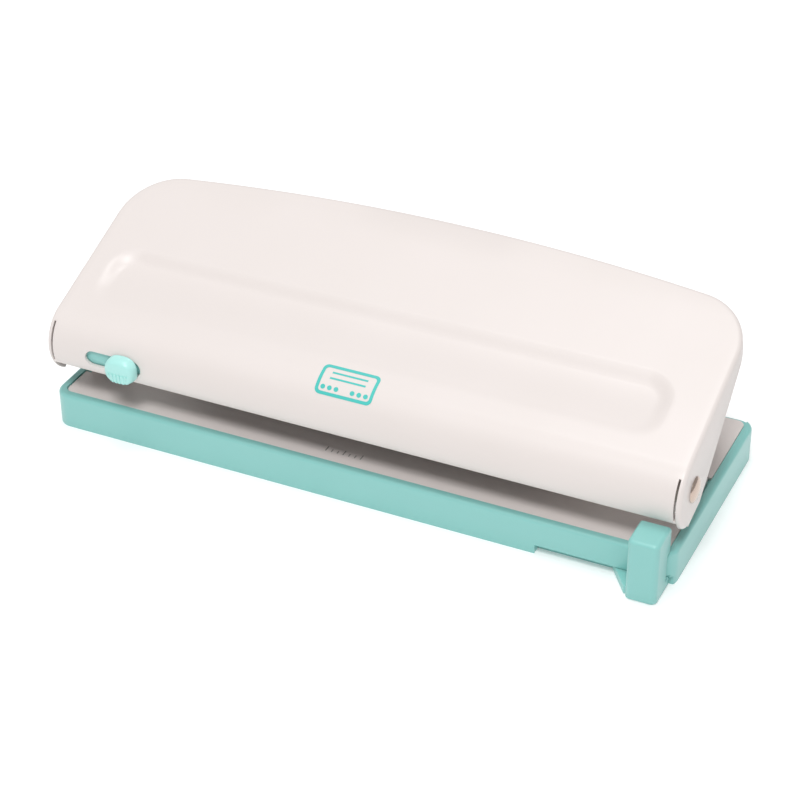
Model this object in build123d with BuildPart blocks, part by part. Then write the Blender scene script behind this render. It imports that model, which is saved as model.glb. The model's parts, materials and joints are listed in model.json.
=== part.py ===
# A lever-action planner punch: a sheet steel handle hinged on a steel base plate, six spring-returned
# punch pins, a slide lock in the handle's front roll, and a moulded chip tray with a sliding paper guide.
# Frame: origin on the table under the middle of the tray, +X to the right, +Y to the rear, +Z up.
from build123d import *
from math import cos, radians, sin, tan
import os

os.makedirs("parts", exist_ok=True)

# ---- driving dimensions, in millimetres and degrees ----
# chip tray
tray_length = 265.0
tray_depth = 98.7
tray_height = 15.0
tray_corner = 7.0
rim_width = 3.3
rim_round = 1.6
ledge_width = 1.5
floor_thickness = 1.6
floor_lift = 1.2
foot_radius = 5.0
foot_inset = 14.0
# paper guide and the track cut for it under the front wall
guide_width = 12.2
guide_end_inset = 2.3
guide_reach = 11.0
guide_below_lip = 2.0
guide_arm = 2.6
guide_round = 2.4
guide_gusset = 10.0
guide_travel = 29.0
track_height = 3.9
track_depth = 3.9
bead_width = 0.8
bead_height = 0.9
# base plate and its ears
plate_thickness = 1.2
plate_below_rim = 0.5
plate_rear_inset = 2.1
ear_front = -27.0
ear_rear = 2.5
ear_lobe = 9.0
ear_lobe_start = 20.0
ear_lobe_end = 225.0
ear_relief = 2.6
ear_gap = 0.8
ear_foot_rise = 1.0
# handle
sheet = 1.2
handle_overhang = 0.9
pivot_y = -33.3
pivot_z = 35.4
roll_radius = 15.2
panel_angle = 20.8
lip_angle = 208.0
panel_rear = 40.5
panel_arch = 9.3
panel_corner = 23.3
roll_end = 265.0
bend_radius = 1.8
slit_width = 0.9
slit_top = 135.0
slit_below_lip = 4.0
flange_bottom = 21.6
flange_toe = -24.0
flange_heel_y = -14.0
flange_heel_z = 30.0
flange_waist = -4.0
flange_waist_depth = 14.0
flange_tip = 17.0
flange_round = 4.0
rear_lip = 3.0
dish_x = -3.0
dish_length = 236.0
dish_width = 23.0
dish_corner = 9.0
dish_depth = 1.8
dish_y = -18.5
press_angle = 20.0
# pivot rivets
rivet_radius = 3.0
rivet_head = 5.1
rivet_dome = 1.8
rivet_tail = 1.0
rivet_edge = 1.6
washer_radius = 6.0
# punch set
punch_spacing = 19.0
punch_gap = 70.0
punch_y = -14.5
punch_radius = 2.5
head_radius = 4.5
head_thickness = 2.0
head_top = 41.0
paper_gap = 2.8
stop_y = -8.5
rail_front = -22.0
rail_rear = 4.0
rail_top = 32.0
rail_overhang = 15.0
clip_thickness = 0.8
clip_radius = 4.2
groove_depth = 0.3
spring_wire = 0.4
spring_radius = 3.55
spring_turns = 5.0
rivet_small = 1.6
rivet_small_head = 3.0
rivet_small_dome = 1.2
rivet_small_tail = 0.8
rail_rivet_set_back = 1.2
# press bar
rod_radius = 3.0
rod_arm = 17.0
rod_gap = 0.4
rod_chamfer = 0.5
bracket_sheet = 1.5
bracket_bend = 2.0
bracket_front = 0.0
bracket_rear = 9.0
pad_radius = 3.5
# slide lock
slot_x = -102.3
slot_length = 26.6
slot_height = 6.8
stem_length = 12.0
knob_rest = 3.1
knob_width = 13.3
knob_height = 11.0
knob_drop = 0.6
knob_proud = 4.8
knob_corner = 4.4
knob_edge = 1.8
rib_count = 6
rib_pitch = 1.6
rib_radius = 0.35
rib_share = 0.45
lock_sheet = 1.2
lock_plate_half_angle = 16.0
tongue_inner = 9.2
catch_width = 12.0
catch_angle = 172.5
catch_web = 9.0
catch_foot = 12.0
catch_bend = 0.6
catch_lap = 1.0
tongue_width = 7.0
tongue_gap = 1.5
tongue_root = 0.5
lock_plate_lap = 5.0
screw_radius = 0.9
screw_head = 2.0
screw_head_height = 1.0
screw_length = 4.5
screw_gap = 0.2
# clearances
running = 0.05
seat = 0.3
plate_fit = 0.4
slide_fit = 0.35
slot_play = 0.5

# ---- values that follow ----
plate_top = tray_height - plate_below_rim
plate_bottom = plate_top - plate_thickness
plate_half_x = tray_length / 2 - rim_width - plate_fit
plate_half_y = tray_depth / 2 - rim_width - plate_fit
plate_corner = tray_corner - rim_width - plate_fit
plate_rear = tray_depth / 2 - plate_rear_inset
ear_outer = plate_half_x - ear_gap
ear_inner = ear_outer - sheet
front = -tray_depth / 2
handle_half = tray_length / 2 + handle_overhang
flange_inner = handle_half - sheet
roll_inner = roll_radius - sheet
panel_rise = tan(radians(panel_angle))
wide = 2 * handle_half + 20
beyond = 2.5 * roll_radius
rail_half = punch_gap / 2 + 2 * punch_spacing + rail_overhang
punch_xs = [side * (punch_gap / 2 + step * punch_spacing) for side, step in
            [(-1, 2), (-1, 1), (-1, 0), (1, 0), (1, 1), (1, 2)]]
rail_floor = plate_top + paper_gap
spring_bottom = rail_floor + sheet
clip_top = rail_top - sheet - seat
press_travel_ratio = (rod_arm * sin(radians(press_angle)) + (head_top - pivot_z + rod_gap + rod_radius)
                      * (1 - cos(radians(press_angle)))) / radians(press_angle)
punch_travel = press_travel_ratio * radians(press_angle)
knob_x = slot_x + (slot_length - stem_length) / 2 - knob_rest
lock_travel = slot_length - stem_length - knob_rest - slot_play


def polar(radius, angle):
    """A point in the (y, z) plane at a radius and angle about the handle's pivot."""
    return (pivot_y + radius * cos(radians(angle)), pivot_z + radius * sin(radians(angle)))


def panel_z(y, below=0.0):
    """Height of the panel's outer face at y, or of a face that lies parallel below it."""
    normal = roll_radius - below
    return pivot_z + (y - pivot_y) * panel_rise + normal / cos(radians(panel_angle))


def save(builder, name):
    builder.part.label = name
    export_step(builder.part, "parts/" + name + ".step")


guide_top = polar(roll_radius, lip_angle)[1] - guide_below_lip
panel_plane = Plane(origin=(dish_x, dish_y, panel_z(dish_y)), x_dir=(1, 0, 0),
                    z_dir=(0, -sin(radians(panel_angle)), cos(radians(panel_angle))))

# ---- chip tray: moulded box with a raised rim, a ledge for the plate and a track under its front wall ----
cavity_inset = rim_width + ledge_width
with BuildPart() as chip_tray:
    with BuildSketch():
        RectangleRounded(tray_length, tray_depth, tray_corner)
    extrude(amount=tray_height)
    fillet(chip_tray.faces().sort_by(Axis.Z)[-1].edges(), rim_round)
    with BuildSketch(Plane.XY.offset(plate_bottom)):
        RectangleRounded(tray_length - 2 * rim_width, tray_depth - 2 * rim_width, tray_corner - rim_width)
    extrude(amount=tray_height, mode=Mode.SUBTRACT)
    # the rear wall stops under the plate, which rests on it
    with BuildSketch(Plane.XY.offset(plate_bottom)):
        with Locations((0, tray_depth / 2)):
            Rectangle(tray_length - 2 * rim_width, 2 * tray_corner)
    extrude(amount=tray_height, mode=Mode.SUBTRACT)
    with BuildSketch(Plane.XY.offset(floor_lift + floor_thickness)):
        RectangleRounded(tray_length - 2 * cavity_inset, tray_depth - 2 * cavity_inset,
                         tray_corner - cavity_inset + 1)
    extrude(amount=tray_height, mode=Mode.SUBTRACT)
    with BuildSketch():
        RectangleRounded(tray_length - 2 * cavity_inset, tray_depth - 2 * cavity_inset,
                         tray_corner - cavity_inset + 1)
    extrude(amount=floor_lift, mode=Mode.SUBTRACT)
    guide_right = tray_length / 2 - guide_end_inset
    track_left = guide_right - guide_width - guide_gusset - guide_travel - 2 * slide_fit
    track_size = (tray_length / 2 + 1 - track_left, track_depth, track_height)
    with Locations((track_left, front, 0)):
        Box(*track_size, align=(Align.MIN, Align.MIN, Align.MIN), mode=Mode.SUBTRACT)
    bead_y = front + track_depth / 2
    groove_width = bead_width + 2 * seat
    with Locations((track_left, bead_y, 0)):
        Box(track_size[0], groove_width, track_height + bead_height + seat,
            align=(Align.MIN, Align.CENTER, Align.MIN), mode=Mode.SUBTRACT)
save(chip_tray, "chip_tray")

with BuildPart() as rubber_feet:
    with BuildSketch():
        with GridLocations(tray_length - 2 * foot_inset, tray_depth - 2 * foot_inset, 2, 2):
            Circle(foot_radius)
    extrude(amount=floor_lift)
save(rubber_feet, "rubber_feet")

# ---- paper guide: a block that clips round the tray's front wall, with a gusset under it ----
with BuildPart() as paper_guide:
    guide_left = guide_right - guide_width
    guide_front = front - seat - guide_reach
    with BuildSketch(Plane.YZ.offset(guide_left)):
        with BuildLine():
            Polyline((guide_front, seat), (front + track_depth - seat, seat),
                     (front + track_depth - seat, track_height - slide_fit),
                     (front - seat, track_height - slide_fit), (front - seat, tray_height + seat),
                     (front + guide_arm, tray_height + seat), (front + guide_arm, guide_top),
                     (guide_front, guide_top), close=True)
        make_face()
    extrude(amount=guide_width)
    fillet(paper_guide.edges().filter_by(Axis.Z).group_by(Axis.Y)[0], guide_round)
    fillet(paper_guide.faces().sort_by(Axis.Z)[-1].edges().filter_by_position(
        Axis.Y, guide_front - 1, front + guide_arm - 0.1), guide_round * 0.6)
    with BuildSketch(Plane.XY.offset(seat)):
        with BuildLine():
            Polyline((guide_left + 1, guide_front + guide_round), (guide_left - 1, guide_front + guide_round),
                     (guide_left - guide_gusset, front + track_depth - seat),
                     (guide_left + 1, front + track_depth - seat), close=True)
        make_face()
    extrude(amount=track_height - slide_fit - seat)
    with Locations(((guide_left + guide_right) / 2, bead_y, track_height - slide_fit)):
        Box(guide_width, bead_width, bead_height + slide_fit - seat,
            align=(Align.CENTER, Align.CENTER, Align.MIN))
save(paper_guide, "paper_guide")

# ---- base plate: steel sheet with die holes and two upturned ears that carry the handle ----
with BuildPart() as base_plate:
    with BuildSketch(Plane.XY.offset(plate_bottom)):
        with Locations((0, (plate_rear - plate_half_y) / 2)):
            RectangleRounded(2 * plate_half_x, plate_rear + plate_half_y, plate_corner)
        for side in (-1, 1):
            for relief_y in (ear_front - ear_relief / 2, ear_rear + ear_relief / 2):
                with Locations((side * (ear_inner + ear_outer + sheet) / 2, relief_y)):
                    Rectangle(2 * sheet + ear_gap, ear_relief, mode=Mode.SUBTRACT)
            with Locations((side * plate_half_x, (ear_front + ear_rear) / 2)):
                Rectangle(2 * ear_gap, ear_rear - ear_front + 2 * ear_relief, mode=Mode.SUBTRACT)
        with Locations(*[(x, punch_y) for x in punch_xs]):
            Circle(punch_radius + running, mode=Mode.SUBTRACT)
    extrude(amount=plate_thickness)
    for side in (-1, 1):
        with BuildSketch(Plane.YZ.offset(side * (ear_inner + sheet / 2))):
            with BuildLine():
                lobe_front = polar(ear_lobe, ear_lobe_end)
                lobe_rear = polar(ear_lobe, ear_lobe_start)
                Polyline(lobe_rear, (ear_rear, plate_top + sheet), (ear_rear, plate_bottom),
                         (ear_front, plate_bottom), (ear_front, plate_top + ear_foot_rise), lobe_front)
                ThreePointArc(lobe_front, (pivot_y, pivot_z + ear_lobe), lobe_rear)
            make_face()
            with Locations((pivot_y, pivot_z)):
                Circle(rivet_radius + running, mode=Mode.SUBTRACT)
        extrude(amount=sheet / 2, both=True)
    rail_rivet_y = (stop_y + rail_rear) / 2 + rail_rivet_set_back
    rail_rivet_xs = [k * rail_half / 2.25 for k in (-2, -0.7, 0.7, 2)]
    with Locations(*[(x, rail_rivet_y, plate_top) for x in rail_rivet_xs]):
        Hole(rivet_small + running, depth=2 * plate_thickness)
save(base_plate, "base_plate")

# ---- pivot rivets with domed heads, and the washers that centre the flanges ----
head_start = handle_half + running
for side, name in ((-1, "left"), (1, "right")):
    with BuildPart() as pivot_rivet:
        for start, length, radius in ((ear_inner - rivet_tail, rivet_tail, rivet_head - 1),
                                      (ear_inner, head_start - ear_inner, rivet_radius),
                                      (head_start, rivet_dome, rivet_head)):
            with BuildSketch(Plane.YZ.offset(side * start)):
                with Locations((pivot_y, pivot_z)):
                    Circle(radius)
            extrude(amount=side * length)
        fillet(pivot_rivet.faces().sort_by(Axis.X)[0 if side < 0 else -1].edges(), rivet_edge)
    save(pivot_rivet, "pivot_rivet_" + name)

with BuildPart() as pivot_washers:
    for side in (-1, 1):
        with BuildSketch(Plane.YZ.offset(side * (ear_outer + flange_inner) / 2)):
            with Locations((pivot_y, pivot_z)):
                Circle(washer_radius)
                Circle(rivet_radius + running, mode=Mode.SUBTRACT)
        extrude(amount=(flange_inner - ear_outer) / 2 - running, both=True)
save(pivot_washers, "pivot_washers")

# ---- punch rail: a C channel that guides the pins, on a strip that is also the paper stop ----
with BuildPart() as paper_stop:
    with BuildSketch(Plane.XY.offset(plate_top)):
        with Locations((0, (stop_y + rail_rear) / 2)):
            Rectangle(2 * rail_half, rail_rear - stop_y)
        with Locations(*[(x, rail_rivet_y) for x in rail_rivet_xs]):
            Circle(rivet_small + running, mode=Mode.SUBTRACT)
    extrude(amount=paper_gap)
save(paper_stop, "paper_stop")

with BuildPart() as punch_rail:
    with BuildSketch(Plane.YZ):
        with BuildLine():
            Polyline((rail_front, rail_floor), (rail_rear, rail_floor), (rail_rear, rail_top),
                     (rail_front, rail_top), (rail_front, rail_top - sheet),
                     (rail_rear - sheet, rail_top - sheet),
                     (rail_rear - sheet, rail_floor + sheet), (rail_front, rail_floor + sheet), close=True)
        make_face()
    extrude(amount=rail_half, both=True)
    with Locations(*[(x, punch_y, rail_top) for x in punch_xs]):
        Hole(punch_radius + running, depth=rail_top)
    with Locations(*[(x, rail_rivet_y, rail_floor + sheet) for x in rail_rivet_xs]):
        Hole(rivet_small + running, depth=2 * sheet)
save(punch_rail, "punch_rail")

with BuildPart() as rail_rivets:
    spots = [(x, rail_rivet_y) for x in rail_rivet_xs]
    with BuildSketch(Plane.XY.offset(plate_bottom)):
        with Locations(*spots):
            Circle(rivet_small)
    extrude(amount=rail_floor + sheet - plate_bottom)
    for start, height in ((rail_floor + sheet, rivet_small_dome),
                          (plate_bottom - rivet_small_tail, rivet_small_tail)):
        with BuildSketch(Plane.XY.offset(start)):
            with Locations(*spots):
                Circle(rivet_small_head)
        extrude(amount=height)
save(rail_rivets, "rail_rivets")

rod_y = pivot_y + rod_arm
rod_z = head_top + rod_gap + rod_radius
pressed = radians(press_angle)
rod_pressed_y = pivot_y + rod_arm * cos(pressed) + (rod_z - pivot_z) * sin(pressed)
rod_pressed_z = pivot_z - rod_arm * sin(pressed) + (rod_z - pivot_z) * cos(pressed)
pad_top = rod_pressed_z - rod_radius - rod_gap
with BuildPart() as stop_pads:
    with BuildSketch(Plane.XY.offset(rail_top)):
        with Locations(*[(side * (rail_half - pad_radius - 1), rod_pressed_y) for side in (-1, 1)]):
            Circle(pad_radius)
    extrude(amount=pad_top - rail_top)
save(stop_pads, "stop_pads")

# ---- six punch pins, each with its clip and return spring ----
pin_bottom = rail_floor + seat
for number, x in enumerate(punch_xs, start=1):
    groove_bottom = clip_top - clip_thickness - running
    with BuildPart() as punch_pin:
        with BuildSketch(Plane.XY.offset(pin_bottom)):
            with Locations((x, punch_y)):
                Circle(punch_radius)
        extrude(amount=head_top - pin_bottom)
        with BuildSketch(Plane.XY.offset(head_top - head_thickness)):
            with Locations((x, punch_y)):
                Circle(head_radius)
        extrude(amount=head_thickness)
        fillet(punch_pin.faces().sort_by(Axis.Z)[-1].edges(), head_thickness * 0.4)
        with BuildSketch(Plane.XY.offset(groove_bottom)):
            with Locations((x, punch_y)):
                Circle(punch_radius + 1)
                Circle(punch_radius - groove_depth, mode=Mode.SUBTRACT)
        extrude(amount=clip_thickness + 2 * running, mode=Mode.SUBTRACT)
    save(punch_pin, "punch_pin_" + str(number))

    with BuildPart() as pin_clip:
        with BuildSketch(Plane.XY.offset(clip_top - clip_thickness)):
            with Locations((x, punch_y)):
                Circle(clip_radius)
                Circle(punch_radius - groove_depth + running, mode=Mode.SUBTRACT)
            with Locations((x, punch_y - clip_radius)):
                Rectangle(2 * (punch_radius - 2 * groove_depth), 2 * clip_radius, mode=Mode.SUBTRACT)
        extrude(amount=clip_thickness)
    save(pin_clip, "pin_clip_" + str(number))

    spring_length = clip_top - clip_thickness - spring_bottom - 2 * spring_wire - 2 * running
    spring_foot = Location((x, punch_y, spring_bottom + spring_wire + running))
    with BuildPart() as punch_spring:
        with BuildLine():
            coil = Helix(pitch=spring_length / spring_turns, height=spring_length, radius=spring_radius)
        with BuildSketch(coil ^ 0):
            Circle(spring_wire)
        sweep(is_frenet=True)
    placed = spring_foot * punch_spring.part
    placed.label = "punch_spring_" + str(number)
    export_step(placed, "parts/punch_spring_" + str(number) + ".step")

# ---- handle shell: panel, front roll and side flanges drawn from one sheet ----


def wrap_solid(inset):
    """The handle's envelope, or the same body one sheet smaller on every covered side."""
    radius = roll_radius - inset
    far = panel_rear + beyond
    with BuildPart() as body:
        with BuildSketch(Plane.YZ):
            with BuildLine():
                arc_start = polar(radius, 90 + panel_angle)
                arc_end = polar(radius, roll_end)
                ThreePointArc(arc_start, polar(radius, 180), arc_end)
                Polyline(arc_end, (arc_end[0], -inset), (far, -inset), (far, panel_z(far, inset)), arc_start)
            make_face()
        extrude(amount=handle_half - inset, both=True)
        with BuildSketch(Plane.XY.offset(-2)):
            half = handle_half - inset
            rear = panel_rear - inset
            with BuildLine():
                Polyline((-half, rear - panel_arch), (-half, -tray_depth), (half, -tray_depth),
                         (half, rear - panel_arch))
                ThreePointArc((half, rear - panel_arch), (0, rear), (-half, rear - panel_arch))
            outline = make_face()
            fillet(outline.vertices().filter_by_position(Axis.Y, 0, panel_rear), panel_corner - inset)
        extrude(amount=wide, mode=Mode.INTERSECT)

        def on_wrap(vertex):
            from_pivot = Vector(0, vertex.Y - pivot_y, vertex.Z - pivot_z).length
            return abs(from_pivot - radius) < 0.01 or abs(vertex.Z - panel_z(vertex.Y, inset)) < 0.01
        rim = [edge for edge in body.edges() if all(on_wrap(v) for v in edge.vertices())
               and (abs(edge.center().X) > half / 2 or edge.center().Y > 0)]
        fillet(rim, bend_radius - inset)
    return body.part


with BuildPart() as handle_shell:
    add(wrap_solid(0))
    add(wrap_solid(sheet), mode=Mode.SUBTRACT)
    # the flanges' free edge, and a short lip along the rear
    with BuildSketch(Plane.YZ):
        with BuildLine():
            FilletPolyline((-wide, flange_bottom), (flange_toe, flange_bottom), (flange_heel_y, flange_heel_z),
                           (flange_waist, panel_z(flange_waist, flange_waist_depth)),
                           (flange_tip, panel_z(flange_tip, rear_lip)), (wide, panel_z(wide, rear_lip)),
                           radius=flange_round)
            Polyline((wide, panel_z(wide, rear_lip)), (wide, -wide), (-wide, -wide), (-wide, flange_bottom))
        make_face()
    extrude(amount=wide / 2, both=True, mode=Mode.SUBTRACT)
    # the roll stops at its lip, and a slit parts it from each flange
    with BuildSketch(Plane.YZ):
        with BuildLine():
            Polyline((pivot_y, pivot_z), polar(beyond, lip_angle), polar(beyond, roll_end + 5), (pivot_y, pivot_z))
        make_face()
    extrude(amount=flange_inner - bend_radius / 2, both=True, mode=Mode.SUBTRACT)
    for side in (-1, 1):
        slit_x = side * (flange_inner - bend_radius / 2 - slit_width / 2)
        with BuildSketch(Plane.YZ.offset(slit_x)):
            with BuildLine():
                Polyline((pivot_y, pivot_z), polar(beyond, slit_top), polar(beyond, 180),
                         polar(beyond, lip_angle - slit_below_lip), (pivot_y, pivot_z))
            make_face()
        extrude(amount=slit_width / 2, both=True, mode=Mode.SUBTRACT)
    # shallow dish in the panel
    with BuildSketch(panel_plane.offset(-sheet / 2)):
        RectangleRounded(dish_length + 2 * sheet, dish_width + 2 * sheet, dish_corner + sheet)
    extrude(amount=-(dish_depth + sheet / 2))
    with BuildSketch(panel_plane.offset(1)):
        RectangleRounded(dish_length, dish_width, dish_corner)
    extrude(amount=-(1 + dish_depth), mode=Mode.SUBTRACT)
    # lock slot and rivet holes
    with BuildSketch(Plane.XZ.offset(-pivot_y + roll_inner - 3)):
        with Locations((slot_x, pivot_z)):
            SlotOverall(slot_length, slot_height)
    extrude(amount=10, mode=Mode.SUBTRACT)
    with BuildSketch(Plane.YZ.offset(-wide / 2)):
        with Locations((pivot_y, pivot_z)):
            Circle(rivet_radius + running)
    extrude(amount=wide, mode=Mode.SUBTRACT)
save(handle_shell, "handle_shell")

# ---- press bracket under the panel, with the rod that pushes the pins ----
with BuildPart() as press_bracket:
    with BuildSketch(Plane.YZ):
        with BuildLine() as bracket_path:
            FilletPolyline((bracket_rear, panel_z(bracket_rear, sheet)),
                           (bracket_front, panel_z(bracket_front, sheet)), (rod_y, rod_z), radius=bracket_bend)
            offset(amount=bracket_sheet, side=Side.LEFT)
        make_face()
    extrude(amount=rail_half, both=True)
    with BuildSketch(Plane.YZ):
        with Locations((rod_y, rod_z)):
            Circle(rod_radius)
    extrude(amount=rail_half + 1, both=True, mode=Mode.SUBTRACT)
save(press_bracket, "press_bracket")

with BuildPart() as press_rod:
    with BuildSketch(Plane.YZ):
        with Locations((rod_y, rod_z)):
            Circle(rod_radius)
    extrude(amount=rail_half, both=True)
    chamfer(press_rod.edges().filter_by(GeomType.CIRCLE), rod_chamfer)
save(press_rod, "press_rod")

# ---- slide lock: knob outside the roll, plate and tongue inside, catch on the base ----
lock_outer = roll_inner - seat
lock_inner = lock_outer - lock_sheet
with BuildPart() as lock_knob:
    knob_z = pivot_z - knob_drop
    knob_front = pivot_y - roll_radius - knob_proud
    with BuildSketch(Plane.XZ.offset(-knob_front)):
        with Locations((knob_x, knob_z)):
            RectangleRounded(knob_width, knob_height, knob_corner)
    extrude(amount=-(knob_proud + 4))
    fillet(lock_knob.faces().sort_by(Axis.Y)[0].edges(), knob_edge)
    rib_xs = [knob_x + (step - (rib_count - 1) / 2) * rib_pitch for step in range(rib_count)]
    with BuildSketch(Plane.XY.offset(knob_z - knob_height)):
        with Locations(*[(x, knob_front) for x in rib_xs]):
            Circle(rib_radius)
    extrude(amount=knob_height * (0.5 + rib_share), mode=Mode.SUBTRACT)
    with BuildSketch(Plane.YZ):
        with Locations((pivot_y, pivot_z)):
            Circle(roll_radius + seat)
    extrude(amount=wide / 2, both=True, mode=Mode.SUBTRACT)
    with BuildSketch(Plane.XZ.offset(-pivot_y + lock_inner)):
        with Locations((knob_x, pivot_z)):
            SlotOverall(stem_length, slot_height - 2 * slide_fit)
    extrude(amount=roll_radius - lock_inner + 2)
    with BuildSketch(Plane.YZ):
        with Locations((pivot_y, pivot_z)):
            Circle(lock_outer)
    extrude(amount=wide / 2, both=True, mode=Mode.SUBTRACT)
    with BuildSketch(Plane.XZ.offset(-pivot_y + lock_inner)):
        with Locations((knob_x, pivot_z)):
            Circle(screw_radius + running)
    extrude(amount=5, mode=Mode.SUBTRACT)
save(lock_knob, "lock_knob")

with BuildPart() as lock_plate:
    plate_span = (knob_x - slot_length / 2 - lock_plate_lap,
                  knob_x + stem_length / 2 + lock_travel + lock_plate_lap)
    with BuildSketch(Plane.YZ.offset(plate_span[0])):
        with BuildLine():
            low, high = 180 - lock_plate_half_angle, 180 + lock_plate_half_angle
            ThreePointArc(polar(lock_outer, low), polar(lock_outer, 180), polar(lock_outer, high))
            Line(polar(lock_outer, high), polar(lock_inner, high))
            ThreePointArc(polar(lock_inner, high), polar(lock_inner, 180), polar(lock_inner, low))
            Line(polar(lock_inner, low), polar(lock_outer, low))
        make_face()
    extrude(amount=plate_span[1] - plate_span[0])
    tongue_right = knob_x - screw_head - tongue_gap
    tongue_left = tongue_right - tongue_width
    with BuildSketch(Plane.YZ.offset(tongue_left)):
        with Locations((pivot_y - (tongue_inner + lock_outer - tongue_root) / 2, pivot_z)):
            Rectangle(lock_outer - tongue_root - tongue_inner, lock_sheet)
    extrude(amount=tongue_right - tongue_left)
    with BuildSketch(Plane.XZ.offset(-pivot_y)):
        with Locations((knob_x, pivot_z)):
            Circle(screw_radius + running)
    extrude(amount=roll_radius, mode=Mode.SUBTRACT)
save(lock_plate, "lock_plate")

with BuildPart() as lock_screw:
    with BuildSketch(Plane.XZ.offset(-pivot_y + lock_inner - screw_gap - screw_head_height)):
        with Locations((knob_x, pivot_z)):
            Circle(screw_head)
    extrude(amount=screw_head_height)
    with BuildSketch(Plane.XZ.offset(-pivot_y + lock_inner - 2 * screw_gap)):
        with Locations((knob_x, pivot_z)):
            Circle(screw_radius)
    extrude(amount=screw_length)
save(lock_screw, "lock_screw")

catch_reach = lock_inner - 2 * seat
with BuildPart() as lock_catch:
    catch_right = tongue_right - lock_travel + catch_lap
    web_y = pivot_y + catch_web
    lug_start = polar(tongue_inner - 1, catch_angle)
    with BuildSketch(Plane.YZ.offset(catch_right - catch_width)):
        with BuildLine():
            FilletPolyline((web_y + catch_foot, plate_top), (web_y, plate_top), (web_y, lug_start[1]),
                           lug_start, polar(catch_reach, catch_angle), radius=catch_bend)
            offset(amount=sheet, side=Side.RIGHT)
        make_face()
    extrude(amount=catch_width)
save(lock_catch, "lock_catch")

print("punch travel per radian", round(press_travel_ratio, 4), "stroke", round(punch_travel, 4))
print("lock travel", lock_travel, "guide travel", guide_travel, "rail half", rail_half)
print("pad height", round(pad_top - rail_top, 3), "spring length", round(spring_length, 3))
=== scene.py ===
import json
import math
import bmesh
import bpy
from mathutils import Matrix, Vector
from mathutils.geometry import delaunay_2d_cdt


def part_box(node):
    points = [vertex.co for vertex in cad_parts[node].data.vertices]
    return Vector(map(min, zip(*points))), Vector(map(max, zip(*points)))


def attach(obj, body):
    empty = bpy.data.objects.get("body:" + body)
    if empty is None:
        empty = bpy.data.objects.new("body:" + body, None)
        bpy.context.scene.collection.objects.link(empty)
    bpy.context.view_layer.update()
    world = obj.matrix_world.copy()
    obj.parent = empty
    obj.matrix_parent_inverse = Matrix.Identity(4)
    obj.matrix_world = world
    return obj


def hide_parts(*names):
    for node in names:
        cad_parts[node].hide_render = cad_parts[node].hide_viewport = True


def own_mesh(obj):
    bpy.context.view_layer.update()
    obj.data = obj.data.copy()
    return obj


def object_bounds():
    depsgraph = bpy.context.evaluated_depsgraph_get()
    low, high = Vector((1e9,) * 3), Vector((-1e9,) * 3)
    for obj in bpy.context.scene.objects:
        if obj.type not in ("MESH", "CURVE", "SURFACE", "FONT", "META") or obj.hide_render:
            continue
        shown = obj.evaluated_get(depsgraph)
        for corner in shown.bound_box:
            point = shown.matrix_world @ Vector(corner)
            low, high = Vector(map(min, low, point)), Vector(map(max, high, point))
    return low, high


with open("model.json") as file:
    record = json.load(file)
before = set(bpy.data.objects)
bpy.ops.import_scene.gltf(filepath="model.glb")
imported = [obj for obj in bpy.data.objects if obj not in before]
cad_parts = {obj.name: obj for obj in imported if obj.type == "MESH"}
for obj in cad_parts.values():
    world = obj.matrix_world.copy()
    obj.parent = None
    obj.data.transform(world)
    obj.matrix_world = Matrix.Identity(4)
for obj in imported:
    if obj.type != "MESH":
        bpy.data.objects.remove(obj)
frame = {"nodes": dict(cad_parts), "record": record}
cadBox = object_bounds()
nodes = frame["nodes"]
scene = bpy.context.scene
mm = 0.001


def srgb(red, green, blue):
    def linear(value):
        value /= 255
        return value / 12.92 if value <= 0.04045 else ((value + 0.055) / 1.055) ** 2.4
    return (linear(red), linear(green), linear(blue), 1)


# camera, lights and floor
view = {
    "azimuth": 25.38, "elevation": 33.28, "roll": -0.39,
    "distance": 0.8987, "sideways": -0.00029, "upward": 0.0149, "lens": 100.14,
}
studio = {
    "sky": 0.44,
    "floorShade": 0.88,
    "floorGlow": 0.2,
    "lights": {
        "topLight": {"place": (-0.2, 0.35, 3.0), "size": 1.0, "power": 25},
        "frontLight": {"place": (0.35, -1.45, 2.7), "size": 0.9, "power": 47},
    },
}


def placeCamera():
    azimuth, elevation = math.radians(view["azimuth"]), math.radians(view["elevation"])
    backward = Vector((math.sin(azimuth) * math.cos(elevation), -math.cos(azimuth) * math.cos(elevation),
                       math.sin(elevation)))
    right = Vector((0, 0, 1)).cross(backward).normalized()
    up = backward.cross(right)
    roll = math.radians(view["roll"])
    right, up = right * math.cos(roll) + up * math.sin(roll), up * math.cos(roll) - right * math.sin(roll)
    camera = bpy.data.objects.new("camera", bpy.data.cameras.new("camera"))
    camera.data.lens = view["lens"]
    camera.data.sensor_width = 36
    place = backward * view["distance"] + right * view["sideways"] + up * view["upward"]
    camera.matrix_world = Matrix.Translation(place) @ Matrix((right, up, backward)).transposed().to_4x4()
    scene.collection.objects.link(camera)
    scene.camera = camera


def placeLights():
    world = bpy.data.worlds.new("studio")
    scene.world = world
    scene.view_settings.view_transform = "Standard"
    world.use_nodes = True
    background = world.node_tree.nodes["Background"]
    background.inputs["Color"].default_value = (1, 1, 1, 1)
    background.inputs["Strength"].default_value = studio["sky"]
    for name, light in studio["lights"].items():
        lamp = bpy.data.lights.new(name, "AREA")
        lamp.energy = light["power"]
        lamp.size = light["size"]
        lampObject = bpy.data.objects.new(name, lamp)
        lampObject.location = light["place"]
        lampObject.rotation_euler = Vector(light["place"]).to_track_quat("Z", "Y").to_euler()
        scene.collection.objects.link(lampObject)


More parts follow.
